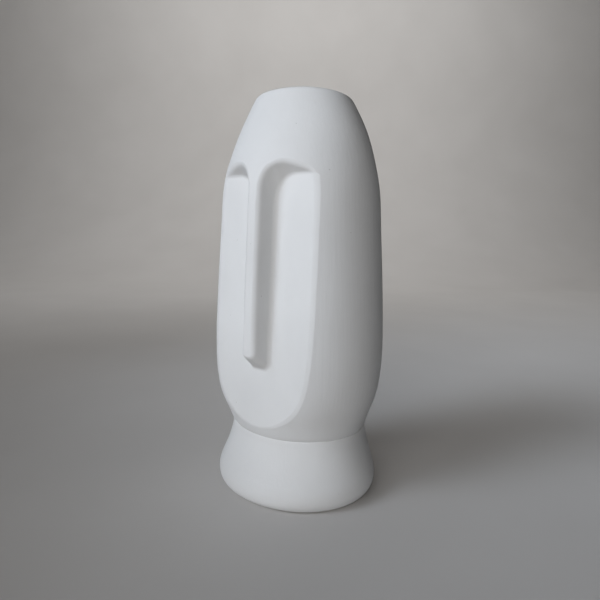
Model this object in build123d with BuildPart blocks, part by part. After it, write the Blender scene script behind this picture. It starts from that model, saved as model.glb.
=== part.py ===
from build123d import *
import math
import os

# A face vase: a tall egg-shaped head, hollow and open at the top, joined to a flared hollow foot.
# Millimetres, +Z up. The face looks towards -Y. The origin is on the table, under the head's axis.

# Overall sizes
vase_height = 301.0          # at the front of the rim
head_half_width = 67.5       # at the cheeks, where the head is widest
head_wall = 5.5
rim_tilt = 7.0               # degrees by which the rim drops towards the back
outer_lip_radius = 3.6       # roundness of the rim's outer edge
inner_lip_radius = 1.5       # and of its inner edge
half_turn = 180.0
edge_sample_shares = (0.1, 0.5, 0.9)

# Head
bottom_height = 34.0         # flat underside of the head, inside the foot
brow_rise = 2.1              # how far above the brow arches the forehead begins to slant back
brow_depth_share = 0.8       # how far it stands in front of the axis there, as a share of head_half_width
forehead_slant = 23.6        # degrees from upright

# Face
face_front_share = 0.9       # depth of the head's front at the face, as a share of head_half_width
face_relief = 15.98          # how far the flat of the cheeks lies behind that, halfway up the vase
cheek_lean = 3.5             # degrees by which the flat leans back
cheek_edge_radius = 10.0     # roundness of the flat's outer edge
arch_share = 0.799           # top of both brow arches, on the flat, as a share of vase_height
arch_radius = 19.0           # inner corner of each arch, beside the bridge of the nose
brow_draft = 38.0            # degrees by which the underside of the brow rises to the front
nose_half_width = 8.2        # at the foot of the nose, on the flat
nose_draft = 10.0            # degrees by which the sides of the nose come together towards the front
nose_end_share = 0.34        # lower end of the nose, on the flat, as a share of vase_height
nose_end_slant = 38.0        # degrees by which the underside of the nose rises to the front
nose_end_radius = 5.0        # both lower corners of the nose
relief_edge_radius = 4.6     # front edges of nose and brow
relief_cove_radius = 3.5     # hollow corner between the flat and the walls that stand on it
edge_fade = 45.0             # degrees at which the rounding of the flat's edge runs out below the brow

# Foot, its felt ring and the coil of slip in the joint
pad_thickness = 1.0
pad_margin = 0.8             # how far the felt stays inside the edge of the flat ring that it is glued to
foot_half_width = 64.8
foot_top = 51.2              # where the foot's top edge meets the head
foot_top_radius = 1.2
toe_radius = 2.5             # outer edge of the foot's underside
bead_radius = 4.2
bead_drop = 8.4              # how far the coil's middle lies below the foot's top edge
bead_share = 0.742           # its half-width, as a share of foot_half_width
bead_front_share = 0.825
bead_back_share = 0.956

# Stock that the carving shapes are cut from
overrun = 20.0               # how far a carving shape runs past what it carves
carve_margin = 0.15          # how far carving shapes stand off the head's own surface
relief_stock = 30.0          # how far the stock for the brow reaches in front of the flat
nose_stock = 16.5            # the same for the nose
root_stock = 6.0             # how far both reach behind the flat
contact = 0.05               # edges closer than this to a surface lie on it

# Level outlines of the head: share of the way from its underside to the rim, share of its greatest
# half-width, and the depths of the front and back halves as shares of the half-width there
head_outline_shares = [
    (0.0, 0.515, 0.84, 0.95),
    (0.017, 0.607, 0.84, 0.95),
    (0.034, 0.69, 0.845, 0.95),
    (0.05, 0.755, 0.85, 0.95),
    (0.066, 0.806, 0.86, 0.95),
    (0.098, 0.853, 0.885, 0.935),
    (0.143, 0.921, 0.91, 0.915),
    (0.21, 0.98, 0.915, 0.9),
    (0.293, 1.0, 0.905, 0.9),
    (0.399, 0.991, 0.9, 0.9),
    (0.53, 0.963, 0.9, 0.9),
    (0.662, 0.93, 0.9, 0.9),
    (0.737, 0.908, 0.9, 0.9),
    (0.778, 0.88, 0.9, 0.9),
    (0.82, 0.841, 0.9, 0.9),
    (0.865, 0.791, 0.9, 0.9),
    (0.91, 0.724, 0.9, 0.9),
    (0.955, 0.636, 0.9, 0.88),
    (1.0, 0.523, 0.9, 0.81),
]
# The same for the foot outside and for its hollow. The neck sits further back than the base.
foot_outline_shares = [
    (0.0, 0.93, 0.905, 0.858),
    (0.05, 0.96, 0.922, 0.874),
    (0.11, 0.986, 0.93, 0.883),
    (0.19, 1.0, 0.93, 0.888),
    (0.3, 0.994, 0.925, 0.9),
    (0.45, 0.955, 0.895, 0.93),
    (0.63, 0.906, 0.862, 0.955),
    (0.815, 0.866, 0.846, 0.965),
    (0.91, 0.854, 0.842, 0.965),
    (1.0, 0.845, 0.84, 0.965),
]
hollow_outline_shares = [
    (0.0, 0.79, 0.88, 0.85),
    (0.15, 0.845, 0.91, 0.875),
    (0.29, 0.865, 0.915, 0.895),
    (0.45, 0.845, 0.88, 0.925),
    (0.63, 0.8, 0.845, 0.95),
    (0.815, 0.762, 0.83, 0.96),
    (1.0, 0.735, 0.83, 0.965),
]

# Heights and depths that follow from these
head_height = vase_height - bottom_height
arch_height = arch_share * vase_height
nose_end_height = nose_end_share * vase_height
brow_height = arch_height + brow_rise
brow_depth = brow_depth_share * head_half_width
cheek_datum = vase_height / 2
cheek_depth = face_front_share * head_half_width - face_relief
bead_height = foot_top - bead_drop
bead_half_width = bead_share * foot_half_width
lean = math.radians(cheek_lean)
flat_front = (0, -math.cos(lean), math.sin(lean))
flat = Plane(origin=(0, -cheek_depth, cheek_datum), x_dir=(1, 0, 0), z_dir=flat_front)


def up(height):
    """Distance along the flat of the cheeks, from its datum to a height above the table."""
    return (height - cheek_datum) / math.cos(lean)


def level(height, half_width, front_share, back_share, growth):
    """A level outline, grown by growth: half an ellipse in front, half of another behind."""
    wide = half_width + growth
    back = back_share * half_width
    slanted = brow_depth - (height - brow_height) * math.tan(math.radians(forehead_slant))
    front = slanted if height > brow_height else front_share * half_width
    with BuildSketch(Plane.XY.offset(height)) as outline:
        with BuildLine():
            EllipticalCenterArc((0, 0), wide, back + growth, start_angle=0, arc_size=half_turn)
            EllipticalCenterArc((0, 0), wide, front + growth, start_angle=half_turn, arc_size=half_turn)
        make_face()
    return outline.sketch.face()


def head_levels(growth):
    """All level outlines of the head, from its underside to the rim."""
    return [
        level(bottom_height + rise * head_height, width * head_half_width, front, back, growth)
        for rise, width, front, back in head_outline_shares
    ]


def foot_levels(outline_shares):
    """Level outlines of the foot or of its hollow, from its underside to its top edge."""
    foot_height = foot_top - pad_thickness
    return [
        level(pad_thickness + rise * foot_height, width * foot_half_width, front, back, 0)
        for rise, width, front, back in outline_shares
    ]


def lies_on(edge, plane):
    """Whether an edge lies on a plane."""
    samples = [edge @ share for share in edge_sample_shares]
    return all(abs(plane.to_local_coords(sample).Z) < contact for sample in samples)


def lies_on_skin(edge, faces):
    """Whether an edge lies on one or more of some curved faces."""
    samples = [Vertex(*(edge @ share)) for share in edge_sample_shares]
    return all(min(face.distance_to(sample) for face in faces) < contact for sample in samples)


# The head as one closed egg, before carving and hollowing, cut off along the tilted rim
rim_front = brow_depth - (vase_height - brow_height) * math.tan(math.radians(forehead_slant))
rim_up = Vector(0, 0, 1).rotate(Axis.X, -rim_tilt)
rim_plane = Plane(origin=(0, -rim_front, vase_height), x_dir=(1, 0, 0), z_dir=rim_up)
with BuildPart() as egg:
    loft(head_levels(0))
    split(bisect_by=rim_plane, keep=Keep.BOTTOM)

# A slightly larger egg, so that the carving shapes have no face in common with the head
with BuildPart() as skin:
    loft(head_levels(carve_margin))

# The head with the flat of the cheeks sliced off and the slice's edge rounded
flat_proud = flat.offset(carve_margin)
with BuildSketch(flat_proud) as slice_outline:
    with Locations((0, up(cheek_datum))):
        Rectangle(2 * (head_half_width + overrun), 2 * (vase_height - cheek_datum + overrun))
with BuildPart() as cheeks:
    add(skin.part)
    extrude(slice_outline.sketch, amount=relief_stock, mode=Mode.SUBTRACT)
    fillet([edge for edge in cheeks.edges() if lies_on(edge, flat_proud)], cheek_edge_radius)

# Outlines of nose and brow on the flat; the nose runs up into the brow
side = head_half_width + 2 * overrun
nose_top = arch_height + 2 * arch_radius
with BuildSketch(flat) as nose_outline:
    with Locations((0, up(nose_end_height))):
        Rectangle(
            2 * nose_half_width,
            up(nose_top) - up(nose_end_height),
            align=(Align.CENTER, Align.MIN),
        )
with BuildSketch(flat) as brow_outline:
    with Locations((0, up(arch_height))):
        Rectangle(
            2 * side,
            up(vase_height + 2 * overrun) - up(arch_height),
            align=(Align.CENTER, Align.MIN),
        )

# Wedge that is cut off under the nose, so that its underside rises to the front
nose_end_depth = cheek_depth + (cheek_datum - nose_end_height) * math.tan(lean)
nose_end_rise = relief_stock * math.tan(math.radians(nose_end_slant))
with BuildSketch(Plane.YZ) as nose_end:
    with BuildLine():
        Polyline(
            (-nose_end_depth, nose_end_height),
            (-nose_end_depth - relief_stock, nose_end_height + nose_end_rise),
            (-nose_end_depth - relief_stock, foot_top),
            (-nose_end_depth, foot_top),
            (-nose_end_depth, nose_end_height),
        )
    make_face()

# The flat that the walls of nose and brow stand on, inside the head's sides
flat_half_width = head_half_width - root_stock
with BuildSketch(flat) as flat_outline:
    with Locations((0, up(arch_height + overrun))):
        Rectangle(2 * flat_half_width, arch_height + 2 * overrun - foot_top, align=(Align.CENTER, Align.MAX))

with BuildPart() as relief:
    extrude(nose_outline.sketch, amount=nose_stock, taper=nose_draft)
    extrude(nose_end.sketch, amount=side, both=True, mode=Mode.SUBTRACT)
    fillet(
        [
            edge
            for edge in relief.edges()
            if contact < abs(edge.center().X) < nose_half_width
            and edge.center().Z < nose_end_height + nose_end_rise
            and not lies_on(edge, flat)
        ],
        nose_end_radius,
    )
    extrude(brow_outline.sketch, amount=relief_stock, taper=brow_draft)
    fillet(
        [
            edge
            for edge in relief.edges()
            if contact < abs(edge.center().X) < nose_half_width
            and arch_height < edge.center().Z < nose_top
            and not lies_on(edge, flat)
        ],
        arch_radius,
    )
    extrude(brow_outline.sketch, amount=-root_stock)
    extrude(flat_outline.sketch, amount=-root_stock)
    fillet(
        [
            edge
            for edge in relief.edges()
            if lies_on(edge, flat)
            and abs(edge.center().X) < flat_half_width - contact
            and foot_top < edge.center().Z < arch_height + overrun - contact
        ],
        relief_cove_radius,
    )
    add(skin.part, mode=Mode.INTERSECT)
    sides = skin.faces().sort_by(Axis.Z)[1:-1]
    fillet(
        [
            edge
            for edge in relief.edges()
            if nose_end_height < edge.center().Z < arch_height + root_stock + relief_edge_radius
            and lies_on_skin(edge, sides)
        ],
        relief_edge_radius,
    )

# Waste in front of the flat, around nose and brow
with BuildSketch(flat.offset(-root_stock / 2)) as front_outline:
    with Locations((0, up(arch_height + 2 * overrun))):
        Rectangle(2 * side - overrun, arch_height + 3 * overrun - foot_top, align=(Align.CENTER, Align.MAX))
with BuildPart() as front_waste:
    extrude(front_outline.sketch, amount=relief_stock)
    add(relief.part, mode=Mode.SUBTRACT)

# Waste outside the rounded edge of the flat
edge_top = up(arch_height) - root_stock * math.tan(math.radians(edge_fade))
with BuildSketch(flat.offset(-root_stock)) as edge_outline:
    with Locations((0, edge_top)):
        Rectangle(2 * side - overrun, arch_height + overrun - foot_top, align=(Align.CENTER, Align.MAX))
with BuildPart() as edge_waste:
    extrude(edge_outline.sketch, amount=root_stock + carve_margin, taper=-edge_fade)
    add(cheeks.part, mode=Mode.SUBTRACT)

# The inside of the head: one wall behind its outside and one wall behind the flat
with BuildSketch(flat.offset(-head_wall)) as inside_front:
    with Locations((0, up(arch_height + head_wall))):
        Rectangle(2 * side, arch_height + head_wall, align=(Align.CENTER, Align.MAX))
with BuildPart() as inside:
    loft(head_levels(-head_wall))
    extrude(inside_front.sketch, amount=relief_stock, mode=Mode.SUBTRACT)
    split(bisect_by=Plane.XY.offset(bottom_height + head_wall), keep=Keep.TOP)

inside_faces = inside.faces().sort_by(Axis.Z)[1:-1]
with BuildPart() as vessel:
    add(egg.part)
    add(inside.part, mode=Mode.SUBTRACT)
    rim_edges = [edge for edge in vessel.edges() if lies_on(edge, rim_plane)]
    fillet([edge for edge in rim_edges if not lies_on_skin(edge, inside_faces)], outer_lip_radius)
    rim_edges = [edge for edge in vessel.edges() if lies_on(edge, rim_plane)]
    fillet([edge for edge in rim_edges if lies_on_skin(edge, inside_faces)], inner_lip_radius)
    add(front_waste.part, mode=Mode.SUBTRACT)
    add(edge_waste.part, mode=Mode.SUBTRACT)

# The foot: a flared shell, open below, whose top edge is shaped to the head
with BuildPart() as foot_hollow:
    loft(foot_levels(hollow_outline_shares))
with BuildPart() as foot:
    loft(foot_levels(foot_outline_shares))
    fillet(foot.edges().group_by(Axis.Z)[0], toe_radius)
    fillet(foot.edges().group_by(Axis.Z)[-1], foot_top_radius)
    add(foot_hollow.part, mode=Mode.SUBTRACT)
    add(egg.part, mode=Mode.SUBTRACT)

# The coil of slip that is pressed into the corner between head and foot, inside the foot
coil = level(bead_height, bead_half_width, bead_front_share, bead_back_share, 0).outer_wire()
with BuildPart() as joint_bead:
    with BuildSketch(Plane(origin=coil @ 0, x_dir=(0, 0, 1), z_dir=coil % 0)):
        Circle(bead_radius)
    sweep(path=coil)
    add(egg.part, mode=Mode.SUBTRACT)
    add(foot.part, mode=Mode.SUBTRACT)

# The felt ring under the foot
_, ring_width, ring_front, ring_back = foot_outline_shares[0]
_, hole_width, hole_front, hole_back = hollow_outline_shares[0]
ring = level(0, ring_width * foot_half_width, ring_front, ring_back, -toe_radius - pad_margin)
hole = level(0, hole_width * foot_half_width, hole_front, hole_back, 0)
with BuildPart() as base_pad:
    extrude(ring, amount=pad_thickness)
    extrude(hole, amount=pad_thickness, mode=Mode.SUBTRACT)

os.makedirs("parts", exist_ok=True)
vessel.part.label = "vessel"
export_step(vessel.part, "parts/vessel.step")
foot.part.label = "foot"
export_step(foot.part, "parts/foot.step")
joint_bead.part.label = "joint_bead"
export_step(joint_bead.part, "parts/joint_bead.step")
base_pad.part.label = "base_pad"
export_step(base_pad.part, "parts/base_pad.step")
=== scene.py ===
import math

import bmesh
import bpy
from mathutils import Matrix, Vector

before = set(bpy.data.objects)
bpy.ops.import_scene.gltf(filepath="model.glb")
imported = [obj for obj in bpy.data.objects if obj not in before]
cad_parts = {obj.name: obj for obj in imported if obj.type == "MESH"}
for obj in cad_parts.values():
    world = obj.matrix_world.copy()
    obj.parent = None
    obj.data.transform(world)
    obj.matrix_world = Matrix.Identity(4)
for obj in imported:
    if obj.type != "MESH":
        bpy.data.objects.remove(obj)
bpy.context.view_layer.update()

# Metres, +Z up, in the frame of the CAD model: the face looks towards -Y.
MM = 0.001


# Sizes and colours of the finishes. A grain is features per metre along X, Y and Z, and a
# contrast is the part of a pattern's range that is stretched to run from 0 to 1.

STRONG_CONTRAST = (0.35, 0.65)
MILD_CONTRAST = (0.3, 0.7)
CLOUD_DETAIL = 3
FINE_DETAIL = 2

WHITE = (0.80, 0.80, 0.80)
SHADED_WHITE = (0.765, 0.765, 0.765)
GREY_SPECK = (0.60, 0.59, 0.58)
# The joint bead's two greys are darker than the clay's white: painted shade for the crease
# between head and foot.
SLIP_PAINTED_SHADE_LIGHT = (0.70, 0.69, 0.68)
SLIP_PAINTED_SHADE_DARK = (0.60, 0.59, 0.57)
CLOUD_GRAIN = (22, 22, 14)
MARK_GRAIN = (420, 420, 26)        # sanding marks, long upright
TOOTH_GRAIN = (1500, 1500, 1500)   # the clay's own fine roughness
PINHOLE_GRAIN = (70, 70, 70)
PINHOLE_INNER = 0.02               # a pinhole is fully dark out to this share of the spacing
PINHOLE_OUTER = 0.035              # and has faded out here
TOOTH_DEPTH = 0.04 * MM
MARK_DEPTH = 0.05 * MM
CERAMIC_SPECULAR = 0.35
ROUGHNESS_DARK = 0.86              # where the clouding is dark
ROUGHNESS_LIGHT = 0.78

FELT_DARK = (0.008, 0.008, 0.009)
FELT_LIGHT = (0.03, 0.03, 0.033)
FIBRE_GRAIN = (1400, 1400, 900)
FIBRE_DETAIL = 4
FIBRE_ROUGHNESS = 0.65             # how strong the finer parts of the pattern are
FIBRE_DEPTH = 0.3 * MM
FELT_ROUGHNESS = 0.95
FELT_SHEEN = 0.3

PAPER_DARK = (0.62, 0.60, 0.58)
PAPER_LIGHT = (0.65, 0.63, 0.61)
PAPER_GRAIN = (5, 5, 5)
PAPER_ROUGHNESS = 0.85


# Makers of patterns and finishes

def new_material(name):
    """A node material, its node tree and its Principled shader."""
    made = bpy.data.materials.new(name)
    made.use_nodes = True
    tree = made.node_tree
    return made, tree, tree.nodes["Principled BSDF"]


def object_place(tree, grain):
    """Object coordinates times the grain."""
    place = tree.nodes.new("ShaderNodeTexCoord")
    stretch = tree.nodes.new("ShaderNodeMapping")
    stretch.inputs["Scale"].default_value = grain
    tree.links.new(place.outputs["Object"], stretch.inputs["Vector"])
    return stretch.outputs["Vector"]


def noise(tree, grain, detail, roughness=0.5):
    """Cloudy pattern of that grain."""
    texture = tree.nodes.new("ShaderNodeTexNoise")
    texture.inputs["Scale"].default_value = 1.0
    texture.inputs["Detail"].default_value = detail
    texture.inputs["Roughness"].default_value = roughness
    tree.links.new(object_place(tree, grain), texture.inputs["Vector"])
    return texture.outputs["Fac"]


def remap(tree, value, span, to_span=(0, 1)):
    """Maps one span of a pattern to another, clamped."""
    node = tree.nodes.new("ShaderNodeMapRange")
    tree.links.new(value, node.inputs["Value"])
    for socket, number in zip(("From Min", "From Max", "To Min", "To Max"), (*span, *to_span)):
        node.inputs[socket].default_value = number
    return node.outputs["Result"]


def dots(tree, grain, inner, outer):
    """1 within inner of a dot's middle, 0 beyond outer, both as shares of the dots' spacing."""
    cells = tree.nodes.new("ShaderNodeTexVoronoi")
    cells.inputs["Scale"].default_value = 1.0
    tree.links.new(object_place(tree, grain), cells.inputs["Vector"])
    return remap(tree, cells.outputs["Distance"], (inner, outer), (1, 0))


def blend_colours(tree, share, first, second):
    """A mix of two colours, or of what two sockets give, by share."""
    node = tree.nodes.new("ShaderNodeMix")
    node.data_type = "RGBA"
    tree.links.new(share, node.inputs["Factor"])
    for socket, colour in zip(("A", "B"), (first, second)):
        target = next(one for one in node.inputs if one.name == socket and one.type == "RGBA")
        if isinstance(colour, tuple):
            target.default_value = (*colour, 1.0)
        else:
            tree.links.new(colour, target)
    return next(one for one in node.outputs if one.type == "RGBA")


def bump(tree, height, depth, below=None):
    """A bump of that depth, on top of another one if below is given."""
    node = tree.nodes.new("ShaderNodeBump")
    node.inputs["Distance"].default_value = depth
    tree.links.new(height, node.inputs["Height"])
    if below is not None:
        tree.links.new(below, node.inputs["Normal"])
    return node.outputs["Normal"]


def ceramic(name, light, dark):
    """Matte unglazed ceramic: faint clouds, upright sanding marks, a fine tooth and pinholes."""
    made, tree, shader = new_material(name)
    clouds = remap(tree, noise(tree, CLOUD_GRAIN, CLOUD_DETAIL), STRONG_CONTRAST)
    marks = remap(tree, noise(tree, MARK_GRAIN, FINE_DETAIL), MILD_CONTRAST)
    tooth = noise(tree, TOOTH_GRAIN, FINE_DETAIL)
    pinholes = dots(tree, PINHOLE_GRAIN, PINHOLE_INNER, PINHOLE_OUTER)
    body = blend_colours(tree, clouds, dark, light)
    colour = blend_colours(tree, pinholes, body, GREY_SPECK)
    tree.links.new(colour, shader.inputs["Base Color"])
    roughness = remap(tree, clouds, (0, 1), (ROUGHNESS_DARK, ROUGHNESS_LIGHT))
    tree.links.new(roughness, shader.inputs["Roughness"])
    relief = bump(tree, marks, MARK_DEPTH, bump(tree, tooth, TOOTH_DEPTH))
    tree.links.new(relief, shader.inputs["Normal"])
    shader.inputs["Specular IOR Level"].default_value = CERAMIC_SPECULAR
    return made


def felt(name):
    """Black felt: matted fibres with a soft sheen."""
    made, tree, shader = new_material(name)
    fibres = noise(tree, FIBRE_GRAIN, FIBRE_DETAIL, FIBRE_ROUGHNESS)
    colour = blend_colours(tree, remap(tree, fibres, STRONG_CONTRAST), FELT_DARK, FELT_LIGHT)
    tree.links.new(colour, shader.inputs["Base Color"])
    tree.links.new(bump(tree, fibres, FIBRE_DEPTH), shader.inputs["Normal"])
    shader.inputs["Roughness"].default_value = FELT_ROUGHNESS
    shader.inputs["Sheen Weight"].default_value = FELT_SHEEN
    return made


def paper(name):
    """Plain pale paper, with the faintest unevenness."""
    made, tree, shader = new_material(name)
    patches = remap(tree, noise(tree, PAPER_GRAIN, CLOUD_DETAIL), MILD_CONTRAST)
    colour = blend_colours(tree, patches, PAPER_DARK, PAPER_LIGHT)
    tree.links.new(colour, shader.inputs["Base Color"])
    shader.inputs["Roughness"].default_value = PAPER_ROUGHNESS
    return made


def dress(node, finish):
    """Gives a CAD node its finish."""
    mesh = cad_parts[node].data
    mesh.materials.clear()
    mesh.materials.append(finish)


dress("vessel", ceramic("bisque", WHITE, SHADED_WHITE))
dress("foot", ceramic("bisque_foot", WHITE, SHADED_WHITE))
# The joint bead gets darker greys than the clay, painted shade in the crease between head and
# foot.
dress("joint_bead", ceramic("slip", SLIP_PAINTED_SHADE_LIGHT, SLIP_PAINTED_SHADE_DARK))
dress("base_pad", felt("black_felt"))


# Floor and backdrop: one sheet of paper, level under the vase and curving up behind it

HEADING = math.radians(35.97)   # the camera looks this far to the left of +Y
TO_HEADING = Matrix.Rotation(HEADING, 3, "Z")
SHEET_REACH = 3.0      # from the vase to the sheet's front and side edges
CURVE_START = 1.3      # from the vase to where the sheet begins to rise
CURVE_RADIUS = 0.9
CURVE_STEPS = 24
STRAIGHT_RISE = 2.2    # how far the sheet goes straight up above the curve
CURVE_END = CURVE_START + CURVE_RADIUS


def sheet_profile():
    """Distance behind the vase and height, from the sheet's front edge to its top."""
    points = [(-SHEET_REACH, 0.0)]
    for step in range(CURVE_STEPS + 1):
        angle = math.pi / 2 * step / CURVE_STEPS
        behind = CURVE_START + CURVE_RADIUS * math.sin(angle)
        points.append((behind, CURVE_RADIUS * (1 - math.cos(angle))))
    points.append((CURVE_END, CURVE_RADIUS + STRAIGHT_RISE))
    return points


def lay_backdrop():
    """The sheet as a mesh, square to the camera."""
    sheet = bmesh.new()
    rows = []
    for behind, height in sheet_profile():
        ends = [Vector((across, behind, height)) for across in (-SHEET_REACH, SHEET_REACH)]
        rows.append([sheet.verts.new(TO_HEADING @ end) for end in ends])
    for near, far in zip(rows, rows[1:]):
        sheet.faces.new((near[0], near[1], far[1], far[0])).smooth = True
    mesh = bpy.data.meshes.new("backdrop")
    sheet.to_mesh(mesh)
    sheet.free()
    mesh.materials.append(paper("backdrop_paper"))
    backdrop = bpy.data.objects.new("backdrop", mesh)
    bpy.context.scene.collection.objects.link(backdrop)


lay_backdrop()


# Light: a bluish main lamp on the vase's right, a broad one from in front, one for the backdrop

HEAD = Vector((0, 0, 0.23))
ABOVE_HEAD = Vector((0, 0, 0.33))
BACKDROP_MIDDLE = TO_HEADING @ Vector((0, CURVE_END, CURVE_RADIUS / 2))
MAIN_SPREAD = 36.0       # degrees: a narrow beam
OPEN_SPREAD = 180.0
MAIN_COLOUR = (0.91, 1.0, 1.12)
PLAIN_COLOUR = (1.0, 1.0, 1.0)
ROOM_COLOUR = (0.56, 0.56, 0.57, 1.0)
ROOM_STRENGTH = 0.04


def area_light(
    name, target, towards, distance, size, power, colour=PLAIN_COLOUR, spread=OPEN_SPREAD,
):
    """A soft lamp, that far from its target on the side that towards points to."""
    lamp = bpy.data.lights.new(name, "AREA")
    lamp.shape = "RECTANGLE"
    lamp.size, lamp.size_y = size
    lamp.energy = power
    lamp.color = colour
    lamp.spread = math.radians(spread)
    holder = bpy.data.objects.new(name, lamp)
    bpy.context.scene.collection.objects.link(holder)
    away = Vector(towards).normalized()
    holder.location = target + distance * away
    holder.rotation_euler = away.to_track_quat("Z", "Y").to_euler()


area_light(
    "main_light", ABOVE_HEAD, (-0.38, -0.78, 0.52),
    distance=0.7, size=(0.8, 0.6), power=0.70, colour=MAIN_COLOUR, spread=MAIN_SPREAD,
)
area_light(
    "front_light", HEAD, (0.27, -0.93, 0.24),
    distance=1.8, size=(1.3, 1.1), power=14.0,
)
area_light(
    "backdrop_light", BACKDROP_MIDDLE, (0.45, -0.60, 0.66),
    distance=1.5, size=(2.0, 1.2), power=15.0,
)

world = bpy.data.worlds.new("room")
bpy.context.scene.world = world
world.use_nodes = True
room = world.node_tree.nodes["Background"]
room.inputs["Color"].default_value = ROOM_COLOUR
room.inputs["Strength"].default_value = ROOM_STRENGTH

# Plain display, without a film curve
bpy.context.scene.view_settings.view_transform = "Standard"


# Camera, where the photograph was taken from

SENSOR = 36.0                   # millimetres
PHOTO_SIZE = 600                # pixels
FOCAL_PIXELS = 510.0
NEAR_CLIP = 0.01
PITCH = math.radians(8.33)      # below level
ROLL = 0.0158                   # radians
EYE = Vector((0.2343, -0.3215, 0.2057))

lens = bpy.data.cameras.new("camera")
lens.sensor_width = SENSOR
lens.lens = FOCAL_PIXELS / PHOTO_SIZE * SENSOR
lens.clip_start = NEAR_CLIP
camera = bpy.data.objects.new("camera", lens)
bpy.context.scene.collection.objects.link(camera)
tilt = Matrix.Rotation(math.pi / 2 - PITCH, 4, "X") @ Matrix.Rotation(ROLL, 4, "Z")
camera.matrix_world = Matrix.Translation(EYE) @ Matrix.Rotation(HEADING, 4, "Z") @ tilt
bpy.context.scene.camera = camera
